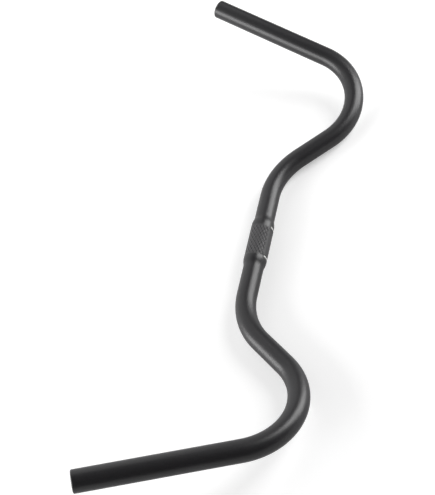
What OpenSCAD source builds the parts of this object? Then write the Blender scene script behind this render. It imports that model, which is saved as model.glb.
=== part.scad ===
// City bike handlebar: one tube with a thicker clamp in the middle, a forward bend
// and a swept-back bend on each side, and two straight grip ends that rise a little.
// The middle of the clamp is the origin. X runs along the clamp to the rider's right,
// Y points forwards and Z points up.

/* [Tube] */
// Outside diameter of the tube, which the grips slide on to
tube_d = 22.2; // [20:0.1:24]
// Thickness of the tube's wall
wall = 2.2; // [2:0.1:3]

/* [Clamp] */
// Outside diameter of the thicker middle, which the stem holds
clamp_d = 25.4; // [24.6:0.1:31.8]
// Length of the thicker middle at its full diameter
clamp_len = 46; // [30:1:60]
// Length of the flowing taper on each side of the clamp
taper_len = 12; // [10:1:20]

/* [Front bends] */
// Length of the straight middle, between the starts of the two front bends
centre_len = 138; // [110:1:180]
// Radius of each front bend, measured at the middle of the tube
front_bend_r = 78; // [50:1:110]
// Angle of each front bend, which carries the bar forwards
front_bend_angle = 48; // [20:0.5:60]
// Length of the straight between a front bend and a back bend
shoulder_len = 42; // [20:1:70]

/* [Back bends] */
// Radius of each back bend, measured at the middle of the tube
back_bend_r = 69; // [50:1:90]
// Angle of each back bend, which carries the bar round to the rider
back_bend_angle = 113.5; // [95:0.5:122]
// Turn of each back bend's plane about the shoulder, which lifts the grips
lift_angle = 17; // [0:0.5:35]

/* [Grip ends] */
// Length of each straight grip end
grip_len = 157; // [120:1:170]
// Rounding of the outer edge of each open end
end_round = 1.5; // [0.3:0.1:1.6]
// Chamfer of the inner edge of each open end
end_chamfer = 0.3; // [0.1:0.1:0.3]

/* [Hidden] */
$fn = 96;

tube_r = tube_d / 2;
clamp_r = clamp_d / 2;
bore_r = tube_r - wall;
clamp_bore_r = clamp_r - wall;
// Where the tapers end and the plain tube starts, from the middle of the bar
swell_half = clamp_len / 2 + taper_len;
// How much a bent tube draws in, on its radius
draw_in = 0.02;
// Length over which a straight eases into a bend
ease_len = 1;

module straight(length, r) rotate([0, 90, 0]) cylinder(h = length, r = r);

// The end of a straight thins by a hair as it runs into a bend
module ease(r) rotate([0, 90, 0]) cylinder(h = ease_len, r1 = r, r2 = r - 2 * draw_in);

// A bend that leaves the origin along X and turns towards Y. Each end starts just inside
// the straight beside it, whose easing meets the bend's surface in one clean edge.
module bend(bend_r, angle, r) {
    lap_angle = ease_len / 2 / bend_r * 180 / PI;
    translate([0, bend_r, 0]) rotate([0, 0, -90 - lap_angle])
        rotate_extrude(angle = angle + 2 * lap_angle)
            translate([bend_r, 0]) circle(r = r - draw_in);
}

// Carries what follows to the far end of such a bend
module past_bend(bend_r, angle)
    translate([0, bend_r, 0]) rotate([0, 0, angle]) translate([0, -bend_r, 0]) children();

// Half of the thicker middle. The taper is two equal arcs, one rounding off the clamp
// and one running out on to the tube, which meet half-way with no kink.
module swell(middle_r, end_r) {
    drop = middle_r - end_r;
    half = taper_len / 2;
    flow_r = (half * half + drop * drop / 4) / drop;
    rotate([0, 90, 0]) rotate_extrude() {
        square([middle_r, clamp_len / 2]);
        square([end_r, clamp_len / 2 + half]);
        translate([0, clamp_len / 2]) intersection() {
            square([middle_r, half]);
            translate([middle_r - flow_r, 0]) circle(r = flow_r);
        }
        translate([0, clamp_len / 2 + half]) difference() {
            square([middle_r, half]);
            translate([end_r + flow_r, half]) circle(r = flow_r);
        }
    }
}

// The run from the middle of the bar to the start of one grip end, where its children go
module half_run(middle_r, r) {
    swell(middle_r, r);
    translate([swell_half, 0, 0]) straight(centre_len / 2 - swell_half, r);
    translate([centre_len / 2, 0, 0]) {
        ease(r);
        bend(front_bend_r, front_bend_angle, r);
        past_bend(front_bend_r, front_bend_angle) {
            mirror([1, 0, 0]) ease(r);
            straight(shoulder_len, r);
            translate([shoulder_len, 0, 0]) {
                ease(r);
                rotate([180 - lift_angle, 0, 0]) {
                    bend(back_bend_r, back_bend_angle, r);
                    past_bend(back_bend_r, back_bend_angle) {
                        mirror([1, 0, 0]) ease(r);
                        children();
                    }
                }
            }
        }
    }
}

// Outside of a grip end, with its edge rounded over
module grip_end()
    rotate([0, 90, 0]) rotate_extrude() {
        square([tube_r - end_round, grip_len]);
        square([tube_r, grip_len - end_round]);
        translate([tube_r - end_round, grip_len - end_round]) circle(r = end_round);
    }

// Inside of a grip end, which runs out past the edge through the chamfer
module grip_bore() {
    straight(grip_len, bore_r);
    translate([grip_len - end_chamfer, 0, 0]) rotate([0, 90, 0])
        cylinder(h = 2 * end_chamfer, r1 = bore_r, r2 = bore_r + 2 * end_chamfer);
}

module both_sides() {
    children();
    mirror([1, 0, 0]) children();
}

module handlebar()
    color([0.14, 0.14, 0.15]) difference() {
        both_sides() half_run(clamp_r, tube_r) grip_end();
        both_sides() half_run(clamp_bore_r, bore_r) grip_bore();
    }

handlebar();
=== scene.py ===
from math import atan2, cos, hypot, pi, radians, sin, sqrt

import bmesh
import bpy
from mathutils import Matrix, Vector


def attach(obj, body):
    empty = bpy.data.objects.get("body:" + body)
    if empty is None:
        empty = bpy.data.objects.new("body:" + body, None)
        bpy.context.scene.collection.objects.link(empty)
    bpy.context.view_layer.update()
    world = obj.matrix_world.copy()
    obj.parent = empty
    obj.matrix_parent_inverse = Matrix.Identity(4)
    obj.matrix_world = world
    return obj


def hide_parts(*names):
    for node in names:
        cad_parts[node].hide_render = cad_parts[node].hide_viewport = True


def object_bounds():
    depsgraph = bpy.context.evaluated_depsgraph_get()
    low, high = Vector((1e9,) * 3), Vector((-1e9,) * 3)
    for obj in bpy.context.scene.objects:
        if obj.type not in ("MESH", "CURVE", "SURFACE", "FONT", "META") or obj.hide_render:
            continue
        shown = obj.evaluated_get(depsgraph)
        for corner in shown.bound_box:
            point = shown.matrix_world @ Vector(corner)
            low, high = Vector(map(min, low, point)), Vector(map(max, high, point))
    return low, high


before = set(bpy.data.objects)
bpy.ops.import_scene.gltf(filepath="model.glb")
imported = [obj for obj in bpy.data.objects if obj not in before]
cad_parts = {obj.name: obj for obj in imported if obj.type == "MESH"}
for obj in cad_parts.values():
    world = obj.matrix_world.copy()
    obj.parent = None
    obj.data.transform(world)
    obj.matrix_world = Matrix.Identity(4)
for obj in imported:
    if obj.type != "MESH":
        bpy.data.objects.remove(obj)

cad_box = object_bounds()

# The view: from above and from the rider's right, turned so that the rider's right
# lies at the bottom of the picture and the front of the bar at its right.
camera_data = bpy.data.cameras.new("view")
camera_data.lens = 76.99
camera_data.clip_start = 0.05
camera = bpy.data.objects.new("view", camera_data)
camera.location = (0.69054, 0.37768, 0.85904)
camera.rotation_euler = (radians(40.279), radians(17.350), radians(102.398))
bpy.context.scene.collection.objects.link(camera)
bpy.context.scene.camera = camera


# The handlebar is one aluminium tube, 22.2 mm across with a 2.2 mm wall, bulged to 25.4 mm in
# the middle for the stem. It is bent cold, forwards and then back round to the rider, and
# coated satin black. The clamp's knurl is rolled in, with a smooth strip left along the front.
mm = 0.001
tube_r, clamp_r, wall = 11.1 * mm, 12.7 * mm, 2.2 * mm
clamp_half, taper, taper_steps = 23 * mm, 12 * mm, 12
front_bend_r, front_bend_angle, front_bend_start = 78 * mm, radians(48), 69 * mm
shoulder = 42 * mm
back_bend_r, back_bend_angle, lift = 69 * mm, radians(113.5), radians(17)
bend_step = radians(2)
grip, end_round, end_round_steps, end_chamfer = 157 * mm, 1.5 * mm, 6, 0.3 * mm


def corners_of(made):
    """The corners among what an operator made."""
    return [v for v in made if isinstance(v, bmesh.types.BMVert)]


def corners_on(edges_or_faces):
    """Each corner of some edges or faces once, in order."""
    return list(dict.fromkeys(v for part in edges_or_faces for v in part.verts))


def rim_of(made, corners):
    """The edges among what an operator made that join two of the given corners."""
    corners = set(corners)
    return [e for e in made if isinstance(e, bmesh.types.BMEdge) and corners.issuperset(e.verts)]


def draw_on(bar, rim, way, length, widen=1.0):
    """Draws the open end of the tube straight on, wider by a factor, and returns its new rim."""
    made = bmesh.ops.extrude_edge_only(bar, edges=rim)["geom"]
    corners = corners_of(made)
    bmesh.ops.translate(bar, verts=corners, vec=way * length)
    middle = Vector([(min(v.co[k] for v in corners) + max(v.co[k] for v in corners)) / 2
                     for k in range(3)])
    about_middle = Matrix.Translation(-middle)
    bmesh.ops.scale(bar, verts=corners, vec=(widen, widen, widen), space=about_middle)
    return rim_of(made, corners)


def bend_on(bar, rim, centre, axis, angle):
    """Bends the open end of the tube on round an axis and returns its new rim."""
    made = bmesh.ops.spin(bar, geom=corners_on(rim) + rim, cent=centre, axis=axis, angle=angle,
                          steps=round(angle / bend_step), use_duplicate=False)["geom_last"]
    return rim_of(made, corners_of(made))


def half_run(bar, rim, side, r, straight_end):
    """Draws one half of the bar from the clamp's edge, where its radius is r, to its open end.
    The taper is two equal arcs, which meet half-way."""
    way, axis = Vector((side, 0, 0)), Vector((0, 0, side))
    drop, half = clamp_r - tube_r, taper / 2
    flow_r = (half * half + drop * drop / 4) / drop
    end_r = r - drop
    at_r = r
    for step in range(1, taper_steps + 1):
        along = taper * step / taper_steps
        if along <= half:
            new_r = r - flow_r + sqrt(flow_r ** 2 - along ** 2)
        else:
            new_r = end_r + flow_r - sqrt(flow_r ** 2 - (taper - along) ** 2)
        rim = draw_on(bar, rim, way, taper / taper_steps, new_r / at_r)
        at_r = new_r
    rim = draw_on(bar, rim, way, front_bend_start - clamp_half - taper)
    place = way * front_bend_start
    for bend_r, angle, straight in ((front_bend_r, front_bend_angle, shoulder),
                                    (back_bend_r, back_bend_angle, straight_end)):
        centre = place + axis.cross(way) * bend_r
        rim = bend_on(bar, rim, centre, axis, angle)
        turn = Matrix.Rotation(angle, 3, axis)
        place, way = centre + turn @ (place - centre), turn @ way
        rim = draw_on(bar, rim, way, straight)
        place = place + way * straight
        axis = Matrix.Rotation(side * (pi - lift), 3, way) @ axis
    return rim, way


def angle_round(co):
    """Degrees round the clamp, from the front and upwards."""
    return atan2(co.z, co.y) * 180 / pi


def snap_round(corners, r):
    """Puts corners of the clamp at a distance r from its axis."""
    for v in corners:
        v.co.yz = v.co.yz * (r / hypot(v.co.y, v.co.z))


# The knurl starts as a grid round the clamp, of rows along it and columns round it. The smooth
# strip takes strip_half columns on each side of the front. Three marks on the mesh's corners
# drive the finishes: how high a corner of the knurl stands, from -1 to 1, where the knurl's
# roll worked the clamp, and where the coating's overspray reached into the bore.
knurl_start, knurl_step, knurl_rows, knurl_columns = -18.6 * mm, 3.1 * mm, 13, 40
knurl_end = knurl_start + knurl_rows * knurl_step
strip_half = 4
strip_edge = strip_half * 360 / knurl_columns

bar = bmesh.new()
knurl_mark = bar.verts.layers.float.new("knurl")
worked_mark = bar.verts.layers.float.new("worked")
spray_mark = bar.verts.layers.float.new("overspray")
along_x = Vector((1, 0, 0))
on_x = Matrix.Rotation(pi / 2, 4, "Y")
first = bmesh.ops.create_circle(bar, segments=knurl_columns, radius=clamp_r,
                                matrix=Matrix.Translation((knurl_start, 0, 0)) @ on_x)["verts"]
right_rim = rim_of(bar.edges, first)
for row in range(knurl_rows):
    right_rim = draw_on(bar, right_rim, along_x, knurl_step)

# The grooves cross at every other corner of that grid, where they are deepest. They run out at
# the knurl's ends and at the strip's edges.
knurl_depth, deepest_mark = 0.5 * mm, -1
row_of = {v: round((v.co.x - knurl_start) / knurl_step) for v in bar.verts}
column_of = {v: round(angle_round(v.co) * knurl_columns / 360) for v in bar.verts}
strip = {f for f in bar.faces if all(abs(column_of[v]) <= strip_half for v in f.verts)}
crossings = [v for v in bar.verts if (row_of[v] + column_of[v]) % 2 == 0]
bmesh.ops.connect_verts(bar, verts=crossings, faces_exclude=list(strip))
on_edge = {v for v in bar.verts if row_of[v] in (0, knurl_rows) or abs(column_of[v]) == strip_half}
between = [v for v in bar.verts
           if (row_of[v] + column_of[v]) % 2 and abs(column_of[v]) >= strip_half]
halved = [e for v in between if v in on_edge for e in v.link_edges
          if e.other_vert(v) not in on_edge and abs(column_of[e.other_vert(v)]) > strip_half]
bmesh.ops.dissolve_verts(bar, verts=[v for v in between if v not in on_edge])
bmesh.ops.dissolve_edges(bar, edges=[e for e in halved if e.is_valid], use_verts=False)
low = [v for v in crossings if 0 < row_of[v] < knurl_rows and abs(column_of[v]) >= strip_half]
snap_round(low, clamp_r - knurl_depth)
# The crossings' mark of -1 darkens them most in the coating below, which is painted shade.
for v in low:
    v[knurl_mark] = deepest_mark

# One hand of the grooves is less deep between the crossings. Halving its edges there also
# splits each diamond, which gives the other hand a shallower groove half-way between its own.
shallow_depth, shallow_mark = 0.25 * mm, 0.4
half_way = knurl_columns // 2
shallow = []
for e in bar.edges:
    one, two = e.verts
    turned = (column_of[two] - column_of[one] + half_way) % knurl_columns - half_way
    if (row_of[two] - row_of[one]) * turned > 0:
        shallow.append(e)
shallow = corners_of(bmesh.ops.subdivide_edges(bar, edges=shallow, cuts=1)["geom_inner"])
snap_round(shallow, clamp_r - shallow_depth)
for v in shallow:
    v[knurl_mark] = shallow_mark

# The diamonds' tops stand at the clamp's full radius. Their mark, which lightens them partly as
# wear and partly as a painted glint, fades towards the knurl's ends.
groove_half, fade_rows = 0.55 * mm, 1.5
diamonds = [f for f in bar.faces if f not in strip]
bmesh.ops.inset_individual(bar, faces=diamonds, thickness=groove_half, use_even_offset=True)
tops = corners_on(diamonds) + bmesh.ops.poke(bar, faces=diamonds)["verts"]
snap_round(tops, clamp_r)
for v in tops:
    from_end = min(v.co.x - knurl_start, knurl_end - v.co.x)
    v[knurl_mark] = min(1, from_end / knurl_step / fade_rows)

# A fine groove closes each end of the smooth strip, and its long edges break in a lip. One
# more cut across it is where the right-hand white mark starts.
arc_places, arc_depth = (-16.6 * mm, 19.8 * mm), 0.3 * mm
mark_right, mark_wide = 20.2 * mm, 1.7 * mm
lip = 0.4 * mm
inside_edge = strip_edge - 0.5
lip_angle = radians(strip_edge) - lip / clamp_r
cuts = [((x + off, 0, 0), along_x, arc_depth if off == 0 else 0)
        for x in arc_places for off in (-lip, 0, lip)]
cuts.append(((mark_right, 0, 0), along_x, 0))
cuts += [((0, 0, 0), (0, side * sin(lip_angle), cos(lip_angle)), 0) for side in (-1, 1)]
for place, across, deep in cuts:
    faces = []
    for f in bar.faces:
        middle = f.calc_center_median()
        between_arcs = arc_places[0] - lip < middle.x < arc_places[1] + lip
        if abs(angle_round(middle)) < strip_edge and (between_arcs or across == along_x):
            faces.append(f)
    parts = faces + list(dict.fromkeys(e for f in faces for e in f.edges)) + corners_on(faces)
    made = bmesh.ops.bisect_plane(bar, geom=parts, dist=0.0001 * mm,
                                  plane_co=place, plane_no=across)
    for v in corners_of(made["geom_cut"]):
        if abs(angle_round(v.co)) < inside_edge:
            snap_round([v], clamp_r - deep)
            # The fine groove's mark darkens it in the coating below, which is painted shade.
            v[knurl_mark] = deepest_mark * deep / arc_depth
for v in bar.verts:
    v[worked_mark] = 1

# Each side is drawn on from the knurl's end with twice as many edges round it, first up to
# the outer edge of its white mark, and its open end is rounded over.
round_steps, touching = 2 * knurl_columns, 0.001 * mm
rims = {}
for side, start, gap in ((-1, knurl_start, mark_wide),
                         (1, knurl_end, mark_right + mark_wide - knurl_end)):
    way = Vector((side, 0, 0))
    rim = [e for e in bar.edges
           if e.is_boundary and all(abs(v.co.x - start) < touching for v in e.verts)]
    halves = bmesh.ops.subdivide_edges(bar, edges=rim, cuts=1)["geom_inner"]
    snap_round(corners_of(halves), clamp_r)
    rim = [e for e in bar.edges
           if e.is_boundary and all(abs(v.co.x - start) < touching for v in e.verts)]
    rim = draw_on(bar, rim, way, gap)
    for v in corners_on(rim):
        v[worked_mark] = 0
    edge = rim[0].verts[0].co.x
    rim = draw_on(bar, rim, way, clamp_half - abs(edge))
    rim, way = half_run(bar, rim, side, clamp_r, grip - end_round)
    at_r, at_turn = tube_r, 0
    for step in range(1, end_round_steps + 1):
        turn = step / end_round_steps * pi / 2
        new_r = tube_r - end_round + end_round * cos(turn)
        rim = draw_on(bar, rim, way, end_round * (sin(turn) - sin(at_turn)), new_r / at_r)
        at_r, at_turn = new_r, turn
    rims[side] = rim

# A white mark stands across the front at each end of the strip. The marks and the bore take
# the second and third of the finishes below.
mark_low, mark_high = -30, 24
mark_slot, bore_slot = 1, 2
for f in bar.faces:
    middle = f.calc_center_median()
    in_band = 0 < knurl_start - middle.x < mark_wide or 0 < middle.x - mark_right < mark_wide
    if in_band and mark_low < angle_round(middle) < mark_high:
        f.material_index = mark_slot

# The bore follows the outside, and takes the coating's overspray near its open ends.
spray_deep = 15 * mm
outside = set(bar.faces)
bore_r, end_bore_r = clamp_r - wall, tube_r - wall
bore = bmesh.ops.create_circle(bar, segments=round_steps, radius=bore_r, matrix=on_x)["verts"]
middle_rim = rim_of(bar.edges, bore)
for side in (-1, 1):
    rim = draw_on(bar, middle_rim, Vector((side, 0, 0)), clamp_half)
    rim, way = half_run(bar, rim, side, bore_r, grip - spray_deep)
    rim = draw_on(bar, rim, way, spray_deep - end_chamfer)
    for v in corners_on(rim):
        v[spray_mark] = 1
    inside = set(bar.faces) - outside
    for f in inside:
        f.material_index = bore_slot
    rim = draw_on(bar, rim, way, end_chamfer, (end_bore_r + end_chamfer) / end_bore_r)
    bmesh.ops.bridge_loops(bar, edges=rim + rims[side])
    outside |= {f for f in bar.faces if f not in inside}

bmesh.ops.remove_doubles(bar, verts=bar.verts, dist=touching)
bmesh.ops.recalc_face_normals(bar, faces=bar.faces)

mesh = bpy.data.meshes.new("handlebar")
bar.to_mesh(mesh)
bar.free()
for face in mesh.polygons:
    face.use_smooth = True
mesh.set_sharp_from_angle(angle=radians(25))
handlebar = bpy.data.objects.new("bar", mesh)
bpy.context.scene.collection.objects.link(handlebar)


def finish_of(name):
    """Starts a finish and returns its material, its node tree and its shader."""
    material = bpy.data.materials.new(name)
    material.use_nodes = True
    return material, material.node_tree, material.node_tree.nodes["Principled BSDF"]


def fill_in(tree, node, values):
    """Sets sockets of a node to a number or colour, or links them to another node's output."""
    for socket, value in values.items():
        if isinstance(value, bpy.types.NodeSocket):
            tree.links.new(value, node.inputs[socket])
        else:
            node.inputs[socket].default_value = value
    return node


def grain(tree, scale, detail):
    """A noise on the bar's own coordinates."""
    place = tree.nodes.new("ShaderNodeTexCoord").outputs["Object"]
    noise = tree.nodes.new("ShaderNodeTexNoise")
    return fill_in(tree, noise, {"Vector": place, "Scale": scale, "Detail": detail}).outputs["Fac"]


def mark_on_mesh(tree, name):
    """One of the marks that the mesh carries at its corners."""
    mark = tree.nodes.new("ShaderNodeAttribute")
    mark.attribute_name = name
    return mark.outputs["Fac"]


def worked_out(tree, operation, *values):
    """A sum, product or other operation on numbers and outputs."""
    node = tree.nodes.new("ShaderNodeMath")
    node.operation = operation
    return fill_in(tree, node, dict(enumerate(values))).outputs[0]


def spread(tree, value, low, high, to_low, to_high):
    """Spreads a value from one range on to another."""
    node = tree.nodes.new("ShaderNodeMapRange")
    return fill_in(tree, node, {"Value": value, "From Min": low, "From Max": high,
                                "To Min": to_low, "To Max": to_high}).outputs["Result"]


def two_tones(tree, value, low, low_tone, high, high_tone):
    """Runs from one tone to another as a value rises from low to high."""
    ramp = tree.nodes.new("ShaderNodeValToRGB")
    start, end = ramp.color_ramp.elements
    start.position, start.color = low, low_tone
    end.position, end.color = high, high_tone
    return fill_in(tree, ramp, {"Fac": value}).outputs["Color"]


def laid_over(tree, share, under, over):
    """Lays one colour over another by a share."""
    mix = tree.nodes.new("ShaderNodeMix")
    mix.data_type = "RGBA"
    return fill_in(tree, mix, {0: share, 6: under, 7: over}).outputs[2]


# The coating is a fine-grained satin black. It is duller where the knurl's roll worked it, and
# paler there, partly its own tone and partly a painted sheen. The diamonds' tops are palest,
# partly worn and partly a painted glint, and the grooves are darkest, which is painted shade.
coating, tree, shader = finish_of("satin black coating")
speckle = grain(tree, scale=900, detail=4)
knurl = mark_on_mesh(tree, "knurl")
worked = mark_on_mesh(tree, "worked")
# A paler black for the rolled zone, partly its own tone and partly a painted sheen, and a grey for
# the crests, partly wear and partly a painted glint.
worked_black_and_sheen, crest_wear_and_glint_grey = (0.048, 0.047, 0.049, 1), (0.095, 0.093, 0.097, 1)
# Near black for the grooves: painted shade.
groove_painted_shade = (0.003, 0.003, 0.0033, 1)
worked_dullness = 0.08
black = two_tones(tree, speckle, low=0.3, low_tone=(0.0185, 0.018, 0.0197, 1),
                  high=0.7, high_tone=(0.0268, 0.026, 0.028, 1))
# The rolled zone is laid over with the paler black, which is partly a painted sheen.
rolled = laid_over(tree, worked, under=black, over=worked_black_and_sheen)
# The crests are lightened towards grey by the knurl's mark, partly as wear and partly as a painted
# glint.
glinting_crests = laid_over(tree, knurl, under=rolled, over=crest_wear_and_glint_grey)
# The grooves are darkened where the knurl's mark falls below zero: painted shade.
grooves = laid_over(tree, worked_out(tree, "MULTIPLY", knurl, -1), under=glinting_crests, over=groove_painted_shade)
satin = spread(tree, speckle, low=0.3, high=0.7, to_low=0.34, to_high=0.4)
peel = fill_in(tree, tree.nodes.new("ShaderNodeBump"),
               {"Strength": 0.15, "Distance": 0.05 * mm, "Height": speckle})
fill_in(tree, shader, {
    "Base Color": grooves, "Normal": peel.outputs["Normal"],
    "Roughness": worked_out(tree, "MULTIPLY_ADD", worked, worked_dullness, satin)})
mesh.materials.append(coating)

# The centring marks are printed in white paint, which takes unevenly.
paint, tree, shader = finish_of("white mark paint")
patchy = grain(tree, scale=1500, detail=2)
white = two_tones(tree, patchy, low=0.25, low_tone=(0.42, 0.42, 0.41, 1),
                  high=0.5, high_tone=(0.72, 0.72, 0.70, 1))
fill_in(tree, shader, {"Base Color": white, "Roughness": 0.5})
mesh.materials.append(paint)

# Inside, the aluminium is bare, apart from the overspray.
bare, tree, shader = finish_of("bare aluminium inside")
aluminium, sprayed = (0.45, 0.45, 0.46, 1), (0.022, 0.022, 0.023, 1)
cloud = grain(tree, scale=300, detail=5)
reach = worked_out(tree, "ADD", mark_on_mesh(tree, "overspray"), cloud)
cover = spread(tree, reach, low=0.8, high=1.2, to_low=0, to_high=1)
fill_in(tree, shader, {
    "Base Color": laid_over(tree, cover, under=aluminium, over=sprayed),
    "Metallic": spread(tree, cover, low=0, high=1, to_low=1, to_high=0),
    "Roughness": spread(tree, cloud, low=0, high=1, to_low=0.35, to_high=0.6)})
mesh.materials.append(bare)

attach(handlebar, "root")
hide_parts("handlebar")


# The floor is plain and pale, and keeps the bar's soft shadow. It glows for the camera, more
# so further off, until it is as white as the room, and a little in reflections.
floor_half = 6
floor_mesh = bpy.data.meshes.new("floor")
ground = bmesh.new()
bmesh.ops.create_grid(ground, x_segments=1, y_segments=1, size=floor_half)
bmesh.ops.translate(ground, verts=ground.verts, vec=(0, 0, cad_box[0][2]))
ground.to_mesh(floor_mesh)
ground.free()
floor = bpy.data.objects.new("floor", floor_mesh)
bpy.context.scene.collection.objects.link(floor)
pale, tree, shader = finish_of("pale floor")
seen = tree.nodes.new("ShaderNodeLightPath").outputs
far_off = tree.nodes.new("ShaderNodeVectorMath")
far_off.operation = "LENGTH"
fill_in(tree, far_off, {0: tree.nodes.new("ShaderNodeTexCoord").outputs["Object"]})
near, far, near_glow, far_glow, mirror_glow = 0.5, 2, 0.45, 1, 0.1
fade = tree.nodes.new("ShaderNodeMapRange")
fade.interpolation_type = "SMOOTHSTEP"
fill_in(tree, fade, {"Value": far_off.outputs["Value"], "From Min": near, "From Max": far,
                     "To Min": near_glow, "To Max": far_glow})
to_camera = worked_out(tree, "MULTIPLY", seen["Is Camera Ray"], fade.outputs["Result"])
mirrored = worked_out(tree, "MAXIMUM", seen["Is Glossy Ray"], seen["Is Transmission Ray"])
fill_in(tree, shader, {
    "Base Color": (0.72, 0.72, 0.72, 1), "Roughness": 0.9, "Emission Color": (1, 1, 1, 1),
    "Emission Strength": worked_out(tree, "MULTIPLY_ADD", mirrored, mirror_glow, to_camera)})
floor_mesh.materials.append(pale)


# Soft studio light in a dim room, which the camera sees white: a tall soft box in front and
# to the rider's left, a wide low one behind and to the right, and a broad weak one behind and
# to the left.
room = bpy.data.worlds.new("room")
bpy.context.scene.world = room
room.use_nodes = True
tree = room.node_tree
seen = tree.nodes.new("ShaderNodeLightPath").outputs
glow = spread(tree, seen["Is Camera Ray"], low=0, high=1, to_low=0.05, to_high=1)
fill_in(tree, tree.nodes["Background"], {"Color": (1, 1, 1, 1), "Strength": glow})


def soft_box(name, turn, rise, far, wide, high, glow):
    """A soft box that faces the bar, turn degrees round it from +X and rise degrees up."""
    light = bpy.data.lights.new(name, "AREA")
    light.shape = "RECTANGLE"
    light.size, light.size_y, light.energy = wide, high, glow * pi * wide * high
    lamp = bpy.data.objects.new(name, light)
    turn, rise = radians(turn), radians(rise)
    lamp.location = Vector((cos(turn) * cos(rise), sin(turn) * cos(rise), sin(rise))) * far
    lamp.rotation_euler = (-lamp.location).to_track_quat("-Z", "Y").to_euler()
    lamp.visible_camera = False
    bpy.context.scene.collection.objects.link(lamp)


soft_box("front box", turn=128, rise=25, far=1.7, wide=0.9, high=1.6, glow=7.5)
soft_box("back box", turn=-59, rise=16, far=1.7, wide=1.6, high=0.95, glow=7.1)
soft_box("left box", turn=-125, rise=32, far=1.9, wide=3.4, high=2.6, glow=0.87)

bpy.context.scene.view_settings.view_transform = "Standard"
